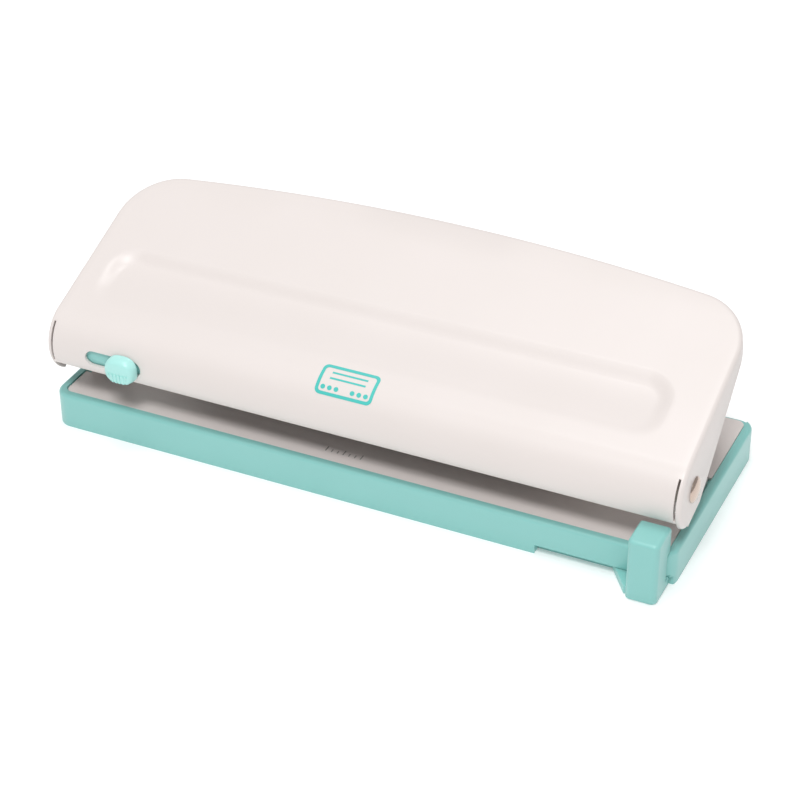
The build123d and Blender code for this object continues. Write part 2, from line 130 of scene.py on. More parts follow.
def placeFloor():
    reach = 3
    mesh = bpy.data.meshes.new("floor")
    mesh.from_pydata([(-reach, -reach, 0), (reach, -reach, 0), (reach, reach, 0), (-reach, reach, 0)],
                     [], [(0, 1, 2, 3)])
    floor = bpy.data.objects.new("floor", mesh)
    scene.collection.objects.link(floor)
    paint = bpy.data.materials.new("floorPaint")
    paint.use_nodes = True
    shader = paint.node_tree.nodes["Principled BSDF"]
    shade = studio["floorShade"]
    shader.inputs["Base Color"].default_value = (shade, shade, shade, 1)
    shader.inputs["Roughness"].default_value = 0.95
    shader.inputs["Specular IOR Level"].default_value = 0.1
    shader.inputs["Emission Color"].default_value = (1, 1, 1, 1)
    shader.inputs["Emission Strength"].default_value = studio["floorGlow"]
    mesh.materials.append(paint)


placeCamera()
placeLights()
placeFloor()
print("studio ready")

# finishes: one shared grain group, and a material for each of the record's slots
finishes = {
    "cream_paint": {"color": srgb(227, 219, 216), "shift": srgb(223, 215, 211), "roughness": 0.42,
                    "spread": 0.06, "grain": 1100, "patch": 26, "bump": 0.06, "depth": 0.05, "coat": 0.15},
    "mint_plastic": {"color": srgb(136, 198, 193), "shift": srgb(142, 202, 197), "roughness": 0.34,
                     "spread": 0.05, "grain": 1500, "patch": 34, "bump": 0.035, "depth": 0.04, "coat": 0.1,
                     "subsurface": 0.12},
    "zinc_steel": {"color": srgb(176, 178, 181), "shift": srgb(150, 153, 158), "roughness": 0.38,
                   "spread": 0.14, "grain": 700, "patch": 60, "bump": 0.05, "depth": 0.05, "metallic": 1},
    # the bright metal's warm, darker colour stands in for the cream surroundings and shade that its domed
    # heads reflect: painted reflection
    "bright_metal": {"color": srgb(206, 188, 176), "shift": srgb(188, 170, 158), "roughness": 0.24,
                     "spread": 0.07, "grain": 1300, "patch": 90, "bump": 0.02, "depth": 0.03, "metallic": 1},
    "tool_steel": {"color": srgb(166, 168, 172), "shift": srgb(142, 144, 149), "roughness": 0.3,
                   "spread": 0.1, "grain": 1500, "patch": 120, "bump": 0.05, "depth": 0.03, "metallic": 1},
    "spring_steel": {"color": srgb(150, 150, 153), "shift": srgb(120, 121, 126), "roughness": 0.3,
                     "spread": 0.1, "grain": 1800, "patch": 160, "bump": 0.03, "depth": 0.03, "metallic": 1},
    "rubber": {"color": srgb(42, 42, 43), "shift": srgb(54, 54, 55), "roughness": 0.82,
               "spread": 0.08, "grain": 900, "patch": 80, "bump": 0.12, "depth": 0.08},
    "nylon": {"color": srgb(232, 229, 220), "shift": srgb(224, 220, 210), "roughness": 0.5,
              "spread": 0.06, "grain": 1000, "patch": 70, "bump": 0.03, "depth": 0.04},
    "mint_print": {"color": srgb(70, 190, 182), "shift": srgb(78, 197, 189), "roughness": 0.4,
                   "spread": 0.05, "grain": 1600, "patch": 60, "bump": 0.03, "depth": 0.02},
    # a lighter copy of the mint plastic for the lock knob: painted highlight for the light its dome catches
    "mint_knob_lit": {"color": srgb(172, 229, 223), "shift": srgb(178, 233, 228), "roughness": 0.34,
                  "spread": 0.05, "grain": 1500, "patch": 60, "bump": 0.03, "depth": 0.03, "coat": 0.1},
    "grey_print": {"color": srgb(150, 146, 142), "shift": srgb(160, 156, 152), "roughness": 0.5,
                   "spread": 0.05, "grain": 1600, "patch": 60, "bump": 0.03, "depth": 0.02},
}


def link(tree, start, end):
    tree.links.new(start, end)


def surfaceGrainGroup():
    group = bpy.data.node_groups.new("surfaceGrain", "ShaderNodeTree")
    for name in ("Color", "Shift"):
        group.interface.new_socket(name=name, in_out="INPUT", socket_type="NodeSocketColor")
    for name in ("Roughness", "Spread", "Grain Scale", "Patch Scale", "Bump", "Depth"):
        group.interface.new_socket(name=name, in_out="INPUT", socket_type="NodeSocketFloat")
    for name, kind in (("Color", "Color"), ("Roughness", "Float"), ("Normal", "Vector")):
        group.interface.new_socket(name=name, in_out="OUTPUT", socket_type="NodeSocket" + kind)
    new = group.nodes.new
    entry, leave = new("NodeGroupInput"), new("NodeGroupOutput")
    place = new("ShaderNodeTexCoord")
    grain, patch = new("ShaderNodeTexNoise"), new("ShaderNodeTexNoise")
    for noise, socket, detail in ((grain, "Grain Scale", 3), (patch, "Patch Scale", 4)):
        noise.inputs["Detail"].default_value = detail
        link(group, place.outputs["Object"], noise.inputs["Vector"])
        link(group, entry.outputs[socket], noise.inputs["Scale"])
    tint = new("ShaderNodeMix")
    tint.data_type = "RGBA"
    link(group, patch.outputs["Fac"], tint.inputs["Factor"])
    link(group, entry.outputs["Color"], tint.inputs["A"])
    link(group, entry.outputs["Shift"], tint.inputs["B"])
    link(group, tint.outputs["Result"], leave.inputs["Color"])
    centred, spread = new("ShaderNodeMath"), new("ShaderNodeMath")
    centred.operation, spread.operation = "SUBTRACT", "MULTIPLY_ADD"
    centred.inputs[1].default_value = 0.5
    link(group, patch.outputs["Fac"], centred.inputs[0])
    link(group, centred.outputs["Value"], spread.inputs[0])
    link(group, entry.outputs["Spread"], spread.inputs[1])
    link(group, entry.outputs["Roughness"], spread.inputs[2])
    link(group, spread.outputs["Value"], leave.inputs["Roughness"])
    bump, height = new("ShaderNodeBump"), new("ShaderNodeMath")
    height.operation = "MULTIPLY"
    height.inputs[1].default_value = mm
    link(group, entry.outputs["Depth"], height.inputs[0])
    link(group, grain.outputs["Fac"], bump.inputs["Height"])
    link(group, entry.outputs["Bump"], bump.inputs["Strength"])
    link(group, height.outputs["Value"], bump.inputs["Distance"])
    link(group, bump.outputs["Normal"], leave.inputs["Normal"])
    return group


def finishMaterial(name, finish, grain):
    material = bpy.data.materials.new(name)
    material.use_nodes = True
    tree = material.node_tree
    shader = tree.nodes["Principled BSDF"]
    texture = tree.nodes.new("ShaderNodeGroup")
    texture.node_tree = grain
    for key in ("color", "shift", "roughness", "spread", "bump", "depth"):
        texture.inputs[key.title()].default_value = finish[key]
    texture.inputs["Grain Scale"].default_value = finish["grain"]
    texture.inputs["Patch Scale"].default_value = finish["patch"]
    link(tree, texture.outputs["Color"], shader.inputs["Base Color"])
    link(tree, texture.outputs["Roughness"], shader.inputs["Roughness"])
    link(tree, texture.outputs["Normal"], shader.inputs["Normal"])
    shader.inputs["Metallic"].default_value = finish.get("metallic", 0)
    shader.inputs["Coat Weight"].default_value = finish.get("coat", 0)
    shader.inputs["Coat Roughness"].default_value = 0.25
    if "subsurface" in finish:
        shader.inputs["Subsurface Weight"].default_value = finish["subsurface"]
        shader.inputs["Subsurface Scale"].default_value = 2 * mm
        shader.inputs["Subsurface Radius"].default_value = (0.6, 1, 1)
    return material


grainGroup = surfaceGrainGroup()
materials = {name: finishMaterial(name, finish, grainGroup) for name, finish in finishes.items()}
slotOf = {subpart["node"]: subpart["material_slot"] for subpart in frame["record"]["subparts"]}
for nodeName, slotName in slotOf.items():
    nodes[nodeName].data.materials.clear()
    nodes[nodeName].data.materials.append(materials[slotName])
print("finishes ready")


flatAngle = 1      # degrees: faces closer than this to one plane are made one face


def addPiece(name, mesh, body, slotName, stood=(), paint=None):
    piece = bpy.data.objects.new(name, mesh)
    scene.collection.objects.link(piece)
    mesh.materials.clear()
    mesh.materials.append(materials[paint or slotName])
    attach(piece, body)
    if stood:
        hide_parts(*stood)
    return piece


def meshOf(shape, name):
    mesh = bpy.data.meshes.new(name)
    shape.to_mesh(mesh)
    shape.free()
    return mesh


def joinRings(shape, lower, upper):
    for k in range(len(lower)):
        after = (k + 1) % len(lower)
        shape.faces.new((lower[k], lower[after], upper[after], upper[k]))


def finishedMesh(mesh, thick=0, bevel=0, segments=2, sharp=32):
    # wall thickness and softened edges, then smooth shading that keeps edges sharper than the given angle
    carrier = bpy.data.objects.new("carrier", mesh)
    scene.collection.objects.link(carrier)
    if thick:
        solidify = carrier.modifiers.new("thickness", "SOLIDIFY")
        solidify.thickness = thick
        solidify.offset = -1
        solidify.use_even_offset = True
        solidify.use_quality_normals = True
    if bevel:
        edge = carrier.modifiers.new("edge", "BEVEL")
        edge.width = bevel
        edge.segments = segments
        edge.limit_method = "ANGLE"
        edge.angle_limit = math.radians(sharp)
    result = bpy.data.meshes.new_from_object(carrier.evaluated_get(bpy.context.evaluated_depsgraph_get()))
    bpy.data.objects.remove(carrier)
    result.shade_smooth()
    result.set_sharp_from_angle(angle=math.radians(sharp))
    return result


def cadCopy(nodeName):
    # the node's loose triangles joined, with flat areas made single faces again
    shape = bmesh.new()
    shape.from_mesh(nodes[nodeName].data)
    bmesh.ops.remove_doubles(shape, verts=shape.verts, dist=0.002 * mm)
    bmesh.ops.dissolve_limit(shape, angle_limit=math.radians(flatAngle),
                             verts=shape.verts, edges=shape.edges)
    bmesh.ops.recalc_face_normals(shape, faces=shape.faces)
    return meshOf(shape, nodeName)


# handle: one sheet wrapped over panel and roll, with a rolled rim, flanges and a pressed finger dish
handle = {
    "half": 133.4, "pivotY": -33.3, "pivotZ": 35.4, "roll": 15.2, "angle": 20.8, "lip": 208, "sheet": 1.2,
    "rim": 1.8, "rear": 40.5, "arch": 9.3, "corner": 23.3, "rearLip": 3.0,
    "slitTop": 135, "slitEnd": 204, "slitWidth": 0.9, "flangeEnd": 245.2,
    "bottom": 21.6, "toe": -24, "heel": (-14, 30), "waist": (-4, 14), "tip": 17, "flangeRound": 4,
    "slotX": -102.9, "slotLength": 25.4, "slotHeight": 6.8, "rivetHole": 3.05,
    "dishX": -3, "dishLow": 3.5, "dishHigh": 37, "dishHalf": 121, "dishDepth": 2.3, "dishCorner": 13,
    "dishWall": 7, "dishFade": 26,
    "step": 0.8, "wideStep": 4.0, "sideStep": 1.2, "endStep": 1.0, "rearStep": 5,
    "bendSteps": 24, "archSteps": 48, "rimSteps": 6, "holeSteps": 32,
    "slitInset": 0.1, "slitMargin": 1.5, "slotMargin": 0.4, "dishMargin": 2, "rearMargin": 16,
    "lipMargin": 0.05, "lipLeast": 0.3, "footInset": 1.2, "bevel": 0.22, "sharp": 40,
}
tilt = math.radians(handle["angle"])
along = Vector((math.cos(tilt), math.sin(tilt)))        # up the panel, in the y and z plane
outward = Vector((-math.sin(tilt), math.cos(tilt)))
pivot = Vector((handle["pivotY"], handle["pivotZ"]))
tangent = pivot + outward * handle["roll"]


def ease(value):
    value = min(max(value, 0), 1)
    return value * value * (3 - 2 * value)


def dishDepth(x, v):
    # steep above and at the round ends, fading towards the roll
    low, high, corner = handle["dishLow"], handle["dishHigh"], handle["dishCorner"]
    beyondX = abs(x - handle["dishX"]) - handle["dishHalf"] + corner
    beyondV = abs(v - (low + high) / 2) - (high - low) / 2 + corner
    inside = corner - math.hypot(max(beyondX, 0), max(beyondV, 0)) - min(max(beyondX, beyondV), 0)
    return handle["dishDepth"] * ease(inside / handle["dishWall"]) * ease((v - low) / handle["dishFade"])


def wrap(x, v, height):
    # v runs up the panel from its join with the roll, and round the roll below zero
    if v >= 0:
        place = tangent + along * v + outward * height
    else:
        turn = math.pi / 2 + tilt - v / handle["roll"]
        place = pivot + Vector((math.cos(turn), math.sin(turn))) * (handle["roll"] + height)
    return Vector((x, place.x, place.y)) * mm


def rollV(angle):
    return -(math.radians(angle) - math.pi / 2 - tilt) * handle["roll"]


def flatV(y):
    return (y - tangent.x) / along.x


def steps(start, end, size):
    count = max(1, math.ceil(abs(end - start) / size))
    return [start + (end - start) * k / count for k in range(count + 1)]


def rounded(points, radius, count=6):
    # a polyline with its inner corners turned into arcs
    path = [Vector(points[0])]
    for before, here, after in zip(points, points[1:], points[2:]):
        here = Vector(here)
        toBefore, toAfter = (Vector(before) - here).normalized(), (Vector(after) - here).normalized()
        half = toBefore.angle(toAfter) / 2
        reach = radius / math.tan(half)
        centre = here + (toBefore + toAfter).normalized() * (radius / math.sin(half))
        start, end = here + toBefore * reach - centre, here + toAfter * reach - centre
        for k in range(count + 1):
            path.append(centre + start.slerp(end, k / count))
    path.append(Vector(points[-1]))
    return path


def rimPath():
    # the outline of the flat sheet, from the right flange's foot round the rear to the left one:
    # each entry is its place on the outer line and its outward direction
    half, rear, corner = handle["half"], handle["rear"], handle["corner"]
    archRadius = (half ** 2 + handle["arch"] ** 2) / (2 * handle["arch"])
    archCentre = Vector((0, rear - archRadius))
    # the corner arc touches the side and the rear arch from inside
    cornerX = half - corner
    cornerY = archCentre.y + math.sqrt((archRadius - corner) ** 2 - cornerX ** 2)
    endTurn = math.atan2(cornerY - archCentre.y, cornerX)
    sideRows = steps(rollV(handle["flangeEnd"]), flatV(cornerY), handle["sideStep"])
    rightSide = [Vector((half, v)) for v in sideRows]
    bend = []
    for k in range(1, handle["bendSteps"] + 1):
        turn = endTurn * k / handle["bendSteps"]
        bend.append(Vector((cornerX + corner * math.cos(turn), cornerY + corner * math.sin(turn))))
    arch = []
    for k in range(1, handle["archSteps"]):
        turn = endTurn + (math.pi - 2 * endTurn) * k / handle["archSteps"]
        arch.append(archCentre + Vector((math.cos(turn), math.sin(turn))) * archRadius)
    curved = [Vector((p.x, flatV(p.y))) for p in bend + arch]
    curved += [Vector((-p.x, flatV(p.y))) for p in reversed(bend)]
    leftSide = [Vector((-p.x, p.y)) for p in reversed(rightSide)]
    path = rightSide + curved + leftSide
    outwards = []
    for k, place in enumerate(path):
        ahead, behind = path[min(k + 1, len(path) - 1)], path[max(k - 1, 0)]
        direction = (ahead - behind).normalized()
        outwards.append(Vector((direction.y, -direction.x)))
    straight = len(rightSide) - 1
    for k in range(straight):
        outwards[k] = Vector((1, 0))
        outwards[len(path) - 1 - k] = Vector((-1, 0))
    return path, outwards, straight


def freeEdge():
    # the flanges' lower edge in the y and z plane, front to rear
    def below(y, depth):
        place = tangent + along * flatV(y)
        return (y, place.y - depth / along.x)
    rearY = handle["rear"] + 20
    return rounded([(-80, handle["bottom"]), (handle["toe"], handle["bottom"]), handle["heel"],
                    below(*handle["waist"]), below(handle["tip"], handle["rearLip"]),
                    below(rearY, handle["rearLip"])], handle["flangeRound"])


def lipDepth(v, edge):
    # how far below the panel the free edge lies, measured square to the panel at v
    origin = tangent + along * v
    for start, end in zip(edge, edge[1:]):
        a, b = (start - tangent).dot(along), (end - tangent).dot(along)
        if a <= v <= b and b > a:
            place = start.lerp(end, (v - a) / (b - a))
            return (origin - place).dot(outward)
    return handle["rearLip"]


def triangulate(loops, inner):
    # outer loop first, then holes; returns places and triangles that keep the loops' points
    points, faces, borders = [], [], []
    for loop in loops:
        start = len(points)
        points += [Vector(p) for p in loop]
        borders.append(list(range(start, len(points))))
    edges = [(loop[k], loop[(k + 1) % len(loop)]) for loop in borders for k in range(len(loop))]
    points += [Vector(p) for p in inner]
    places, _, triangles, _, _, _ = delaunay_2d_cdt(points, edges, [], 1, 1e-5)

    def inside(point, loop):
        odd = False
        for a, b in zip(loop, loop[1:] + loop[:1]):
            if (a[1] > point[1]) != (b[1] > point[1]):
                if point[0] < (b[0] - a[0]) * (point[1] - a[1]) / (b[1] - a[1]) + a[0]:
                    odd = not odd
        return odd
    for triangle in triangles:
        middle = sum((places[i] for i in triangle), Vector((0, 0))) / 3
        if not any(inside(middle, hole) for hole in loops[1:]):
            faces.append(triangle)
    return places, faces


def stadium(centreX, centreV, length, height, count=10):
    radius = height / 2
    path = []
    for side in (1, -1):
        for k in range(count + 1):
            turn = math.pi * k / count - math.pi / 2
            path.append((centreX + side * (length / 2 - radius + radius * math.cos(turn)),
                         centreV + side * radius * math.sin(turn)))
    return path


def layPanel(shape, seam, straight):
    # panel and roll inside the rim, with the lock slot and the two slits left open
    rim, step = handle["rim"], handle["step"]
    inside = handle["half"] - rim
    lipV = rollV(handle["lip"])
    right = [p for p in seam[:straight + 1] if p.y > lipV + handle["lipMargin"]]
    rear = seam[straight + 1:len(seam) - straight - 1]
    left = [Vector((-p.x, p.y)) for p in reversed(right)]
    low = [Vector((x, lipV)) for x in steps(-inside, inside, handle["wideStep"])]
    outline = [tuple(p) for p in low + right + rear + left]
    holes = [stadium(handle["slotX"], rollV(180), handle["slotLength"], handle["slotHeight"])]
    slitRight = inside - handle["slitInset"]
    slitLeft = slitRight - handle["slitWidth"]
    slitRows = steps(rollV(handle["slitEnd"]), rollV(handle["slitTop"]), step)
    for side in (1, -1):
        holes.append([(side * slitLeft, v) for v in slitRows]
                     + [(side * slitRight, v) for v in reversed(slitRows)])
    inner = []
    reach = slitLeft - handle["slitMargin"]
    columns = steps(-reach, reach, handle["wideStep"])
    dishMargin, slotMargin = handle["dishMargin"], handle["slotMargin"]
    dishEnd, endStep = handle["dishHalf"], handle["endStep"]
    ends = steps(dishEnd - handle["dishCorner"] - dishMargin, dishEnd + endStep, endStep)
    columns += [handle["dishX"] + side * x for side in (1, -1) for x in ends]
    rows = steps(lipV + step, 0, step) + steps(step, handle["dishHigh"] + dishMargin, step)
    for x in sorted(columns):
        for v in rows:
            nearSlot = (abs(x - handle["slotX"]) < handle["slotLength"] / 2 + slotMargin
                        and abs(v - rollV(180)) < handle["slotHeight"] / 2 + slotMargin)
            if not nearSlot:
                inner.append((x, v))
        inner += [(x, v) for v in steps(handle["dishHigh"] + 3 * dishMargin,
                                        flatV(handle["rear"]) - handle["rearMargin"], handle["rearStep"])]
    places, faces = triangulate([outline] + holes, inner)
    corners = [shape.verts.new(wrap(p.x, p.y, -dishDepth(p.x, p.y))) for p in places]
    for face in faces:
        shape.faces.new([corners[i] for i in face])


def rollRim(shape, path, outwards, seam, straight, edge):
    # the bend all round, then the lip below it along the rear
    rim, turns = handle["rim"], handle["rimSteps"]
    rows = []
    for k, out in enumerate(outwards):
        row = []
        for t in range(turns + 1):
            bend = math.pi / 2 * t / turns
            spot = seam[k] + out * (rim * math.sin(bend))
            row.append(shape.verts.new(wrap(spot.x, spot.y, -rim * (1 - math.cos(bend)))))
        rows.append(row)
    for before, after in zip(rows, rows[1:]):
        for a, b, c, d in zip(before, before[1:], after, after[1:]):
            shape.faces.new((a, b, d, c))
    last = len(path) - 1
    skirt = {}
    for k in range(straight, last - straight + 1):
        spot = path[k]
        depth = max(lipDepth(spot.y, edge), rim + handle["lipLeast"])
        skirt[k] = shape.verts.new(wrap(spot.x, spot.y, -depth))
    for k in range(straight, last - straight):
        shape.faces.new((rows[k][-1], skirt[k], skirt[k + 1], rows[k + 1][-1]))


def addFlanges(shape, path, straight, edge):
    # flat side walls from the rim down to the free edge, with the rivet hole
    rimLine = []
    for spot in path[:straight + 1]:
        place = wrap(0, spot.y, -handle["rim"]) / mm
        rimLine.append((place.y, place.z))
    rearDepth = lipDepth(path[straight].y, edge)
    rearFoot = wrap(0, path[straight].y, -rearDepth) / mm
    toeY = rimLine[0][0] + handle["footInset"]
    lower = [p for p in edge if toeY < p.x < rearFoot.y - handle["lipLeast"]]
    foot = [(toeY, handle["bottom"])]
    outline = rimLine + [(rearFoot.y, rearFoot.z)] + [tuple(p) for p in reversed(lower)] + foot
    ring = []
    for k in range(handle["holeSteps"]):
        turn = 2 * math.pi * k / handle["holeSteps"]
        ring.append(tuple(pivot + Vector((math.cos(turn), math.sin(turn))) * handle["rivetHole"]))
    places, faces = triangulate([outline, ring], [])
    for side in (1, -1):
        corners = [shape.verts.new(Vector((side * handle["half"], p.x, p.y)) * mm) for p in places]
        for face in faces:
            shape.faces.new([corners[i] for i in face])


def buildHandle():
    shape = bmesh.new()
    path, outwards, straight = rimPath()
    edge = freeEdge()
    seam = [place - out * handle["rim"] for place, out in zip(path, outwards)]
    layPanel(shape, seam, straight)
    rollRim(shape, path, outwards, seam, straight, edge)
    addFlanges(shape, path, straight, edge)
    bmesh.ops.remove_doubles(shape, verts=shape.verts, dist=0.02 * mm)
    bmesh.ops.recalc_face_normals(shape, faces=shape.faces)
    flat = [edge for edge in shape.edges if len(edge.link_faces) == 2
            and all(abs(face.normal.x) > 0.99999 for face in edge.link_faces)]
    bmesh.ops.dissolve_limit(shape, angle_limit=math.radians(flatAngle), verts=[], edges=flat)
    top = max(shape.faces, key=lambda face: face.calc_center_median().z)
    if top.normal.z < 0:
        bmesh.ops.reverse_faces(shape, faces=shape.faces)
    mesh = finishedMesh(meshOf(shape, "handleShell"), handle["sheet"] * mm, handle["bevel"] * mm,
                        sharp=handle["sharp"])
    # the crest of the rear rim stays inside the frame's box
    for vertex in mesh.vertices:
        vertex.co.z = min(vertex.co.z, cadBox[1][2])
    return mesh


addPiece("handleShell", buildHandle(), "handle", "cream_paint", ("handle_shell",))
print("handle ready")

# moulded and pressed pieces kept on the frame's own shapes, with softened edges
softened = {
    "chip_tray": {"name": "chipTray", "body": "tray", "bevel": 0.5},
    "paper_guide": {"name": "paperGuide", "body": "guide", "bevel": 0.4},
    "base_plate": {"name": "basePlate", "body": "base", "bevel": 0.25},
    "punch_rail": {"name": "punchRail", "body": "base", "bevel": 0.25},
    "lock_catch": {"name": "lockCatch", "body": "base", "bevel": 0.2},
    "press_bracket": {"name": "pressBracket", "body": "handle", "bevel": 0.25},
    "lock_plate": {"name": "lockPlate", "body": "lock", "bevel": 0.2},
}
for nodeName, soft in softened.items():
    mesh = finishedMesh(cadCopy(nodeName), bevel=soft["bevel"] * mm, segments=3, sharp=32)
    addPiece(soft["name"], mesh, soft["body"], slotOf[nodeName], (nodeName,))
print("softened pieces ready")

# pivot rivets, turned, with a domed head outside the flange and a flat tail behind the ear
rivet = {"shank": 3.0, "tail": 4.1, "tailLength": 1.0, "headRise": 1.8, "domeSteps": 8, "around": 48,
         "sharp": 40}


def buildRivet(nodeName, side):
    low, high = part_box(nodeName)
    centreY, centreZ = (low[1] + high[1]) / 2 / mm, (low[2] + high[2]) / 2 / mm
    inner, outer = sorted((abs(low[0]) / mm, abs(high[0]) / mm))
    head = (high[2] - low[2]) / 2 / mm
    seat = outer - rivet["headRise"]
    profile = [(inner, rivet["tail"]), (inner + rivet["tailLength"], rivet["tail"]),
               (inner + rivet["tailLength"], rivet["shank"]), (seat, rivet["shank"])]
    for k in range(rivet["domeSteps"]):
        turn = math.pi / 2 * k / rivet["domeSteps"]
        profile.append((seat + rivet["headRise"] * math.sin(turn), head * math.cos(turn)))
    shape = bmesh.new()
    rings = []
    for x, radius in profile:
        ring = []
        for k in range(rivet["around"]):
            turn = 2 * math.pi * k / rivet["around"]
            ring.append(shape.verts.new(Vector((side * x, centreY + radius * math.cos(turn),
                                                centreZ + radius * math.sin(turn))) * mm))
        rings.append(ring)
    for lower, upper in zip(rings, rings[1:]):
        joinRings(shape, lower, upper)
    tip = shape.verts.new(Vector((side * outer, centreY, centreZ)) * mm)
    for k in range(rivet["around"]):
        shape.faces.new((rings[-1][k], rings[-1][(k + 1) % rivet["around"]], tip))
    shape.faces.new(rings[0])
    bmesh.ops.recalc_face_normals(shape, faces=shape.faces)
    return finishedMesh(meshOf(shape, nodeName), sharp=rivet["sharp"])


for nodeName, name, side in (("pivot_rivet_left", "pivotRivetLeft", -1),
                             ("pivot_rivet_right", "pivotRivetRight", 1)):
    addPiece(name, buildRivet(nodeName, side), "base", slotOf[nodeName], (nodeName,))
print("rivets ready")


# Geometry Nodes: a disc, a bar or a wound spring on every point of a carrier
def openTree(name, sizes):
    tree = bpy.data.node_groups.new(name, "GeometryNodeTree")
    tree.interface.new_socket(name="Points", in_out="INPUT", socket_type="NodeSocketGeometry")
    for size in sizes:
        tree.interface.new_socket(name=size, in_out="INPUT", socket_type="NodeSocketFloat")
    tree.interface.new_socket(name="Finish", in_out="INPUT", socket_type="NodeSocketMaterial")
    tree.interface.new_socket(name="Solid", in_out="OUTPUT", socket_type="NodeSocketGeometry")
    return tree, tree.nodes.new("NodeGroupInput")


def closeTree(tree, entry, solid):
    # the solid on every point, as real geometry in its finish
    new = tree.nodes.new
    stamp, real = new("GeometryNodeInstanceOnPoints"), new("GeometryNodeRealizeInstances")
    paint, leave = new("GeometryNodeSetMaterial"), new("NodeGroupOutput")
    link(tree, entry.outputs["Points"], stamp.inputs["Points"])
    link(tree, solid, stamp.inputs["Instance"])
    link(tree, stamp.outputs["Instances"], real.inputs["Geometry"])
    link(tree, real.outputs["Geometry"], paint.inputs["Geometry"])
    link(tree, entry.outputs["Finish"], paint.inputs["Material"])
    link(tree, paint.outputs["Geometry"], leave.inputs["Solid"])
    return tree


def discStamp():
    sizes = ("Radius", "Depth")
    tree, entry = openTree("discStamp", sizes)
    disc = tree.nodes.new("GeometryNodeMeshCylinder")
    disc.inputs["Vertices"].default_value = 32
    for size in sizes:
        link(tree, entry.outputs[size], disc.inputs[size])
    return closeTree(tree, entry, disc.outputs["Mesh"])


def barStamp():
    sizes = ("Width", "Length", "Height")
    tree, entry = openTree("barStamp", sizes)
    gather, bar = tree.nodes.new("ShaderNodeCombineXYZ"), tree.nodes.new("GeometryNodeMeshCube")
    for size, axis in zip(sizes, "XYZ"):
        link(tree, entry.outputs[size], gather.inputs[axis])
    link(tree, gather.outputs["Vector"], bar.inputs["Size"])
    return closeTree(tree, entry, bar.outputs["Mesh"])


def springWinding():
    tree, entry = openTree("springWinding", ("Turns", "Radius", "Height", "Wire"))
    new = tree.nodes.new
    coil, section = new("GeometryNodeCurveSpiral"), new("GeometryNodeCurvePrimitiveCircle")
    wire = new("GeometryNodeCurveToMesh")
    coil.inputs["Resolution"].default_value = 28
    section.inputs["Resolution"].default_value = 10
    wire.inputs["Fill Caps"].default_value = True
    for size, socket in (("Turns", "Rotations"), ("Radius", "Start Radius"), ("Radius", "End Radius"),
                         ("Height", "Height")):
        link(tree, entry.outputs[size], coil.inputs[socket])
    link(tree, entry.outputs["Wire"], section.inputs["Radius"])
    link(tree, coil.outputs["Curve"], wire.inputs["Curve"])
    link(tree, section.outputs["Curve"], wire.inputs["Profile Curve"])
    return closeTree(tree, entry, wire.outputs["Mesh"])


def grown(name, points, tree, sizes, material):
    # the tree's result as a plain mesh
    carrierMesh = bpy.data.meshes.new(name)
    carrierMesh.from_pydata([tuple(p) for p in points], [], [])
    carrier = bpy.data.objects.new(name, carrierMesh)
    scene.collection.objects.link(carrier)
    modifier = carrier.modifiers.new("grow", "NODES")
    modifier.node_group = tree
    values = dict(sizes, Finish=material)
    for item in tree.interface.items_tree:
        if item.in_out == "INPUT" and item.name in values:
            modifier[item.identifier] = values[item.name]
    mesh = bpy.data.meshes.new_from_object(carrier.evaluated_get(bpy.context.evaluated_depsgraph_get()))
    bpy.data.objects.remove(carrier)
    mesh.name = name
    mesh.shade_smooth()
    mesh.set_sharp_from_angle(angle=math.radians(40))
    return mesh


def reshaped(mesh, place):
    for vertex in mesh.vertices:
        vertex.co = place(vertex.co)
    mesh.update()
    return mesh


def merged(meshes, name):
    shape = bmesh.new()
    for mesh in meshes:
        shape.from_mesh(mesh)
    bmesh.ops.recalc_face_normals(shape, faces=shape.faces)
    result = meshOf(shape, name)
    result.shade_smooth()
    result.set_sharp_from_angle(angle=math.radians(40))
    return result


discTree, barTree, windingTree = discStamp(), barStamp(), springWinding()

# return springs, one to each pin
spring = {"turns": 5.0, "radius": 3.55, "wire": 0.4, "holes": 6, "shortest": 0.42}
for number in range(1, spring["holes"] + 1):
    low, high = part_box("punch_spring_%d" % number)
    foot = ((low[0] + high[0]) / 2, (low[1] + high[1]) / 2, low[2] + spring["wire"] * mm)
    mesh = grown("punchSpring%d" % number, [foot], windingTree, {
        "Turns": spring["turns"], "Radius": spring["radius"] * mm, "Wire": spring["wire"] * mm,
        "Height": high[2] - low[2] - 2 * spring["wire"] * mm}, materials["spring_steel"])
    coil = addPiece("punchSpring%d" % number, mesh, "base", "spring_steel", ("punch_spring_%d" % number,))
    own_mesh(coil)
print("springs ready")

# lock knob: a domed pad on a stem, with fine ribs for the thumb
knob = {
    "square": 2.6, "gap": 0.3, "ribs": 6, "ribPitch": 1.6, "ribWidth": 0.75, "ribLength": 4.0,
    "ribHeight": 0.9, "ribRise": 3.1, "count": 56, "stem": 11.4, "stemHeight": 6.0,
    # share of the pad's outline and of its height, from the middle of its foot round to the top
    "rows": ((0.05, 0.0), (0.3, 0.0), (0.55, 0.0), (0.8, 0.0), (1.0, 0.0), (1.0, 0.35), (0.97, 0.6),
             (0.9, 0.8), (0.78, 0.91), (0.6, 0.965), (0.35, 0.99), (0.12, 1.0)),
}


